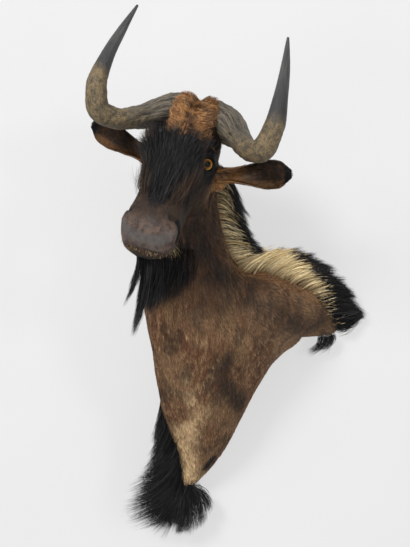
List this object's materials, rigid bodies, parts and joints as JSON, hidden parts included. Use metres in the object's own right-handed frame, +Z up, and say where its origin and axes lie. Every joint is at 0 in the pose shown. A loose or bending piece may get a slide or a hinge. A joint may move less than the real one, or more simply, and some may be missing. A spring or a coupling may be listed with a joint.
{
  "type": "black wildebeest shoulder mount",
  "caption": "Life-size shoulder mount of a black wildebeest: turned head with hooked horns, ears, mane, beard and chest fringe, hung on a wall by its back board.",
  "frame": {"origin": "on the flat back face of the back board, where it lies against the wall", "axes": "+Y into the wall, +Z up, +X to the right of someone who faces the mount"},
  "size_m": [0.7349, 0.5893, 1.3645],
  "materials": {
    "face_hair": "black and dark brown hair, orange-brown on the crown",
    "body_hair": "short brown coat mottled darker, cream mane with black tips, black fringe",
    "ear_hair": "short dark brown hair",
    "horn": "horn: rough tan brown below, smooth dark grey above",
    "eye": "glass eye, amber iris and black pupil, polished",
    "board": "bare planed pine",
    "hanger": "zinc-plated steel plate"
  },
  "bodies": {
    "root": {"head": "face_hair", "neck": "body_hair", "shoulder": "body_hair", "brisket": "body_hair", "horn_left": "horn", "horn_right": "horn", "ear_left": "ear_hair", "ear_right": "ear_hair", "eye_left": "eye", "eye_right": "eye", "back_board": "board", "hanger": "hanger"}
  },
  "joints": []
}
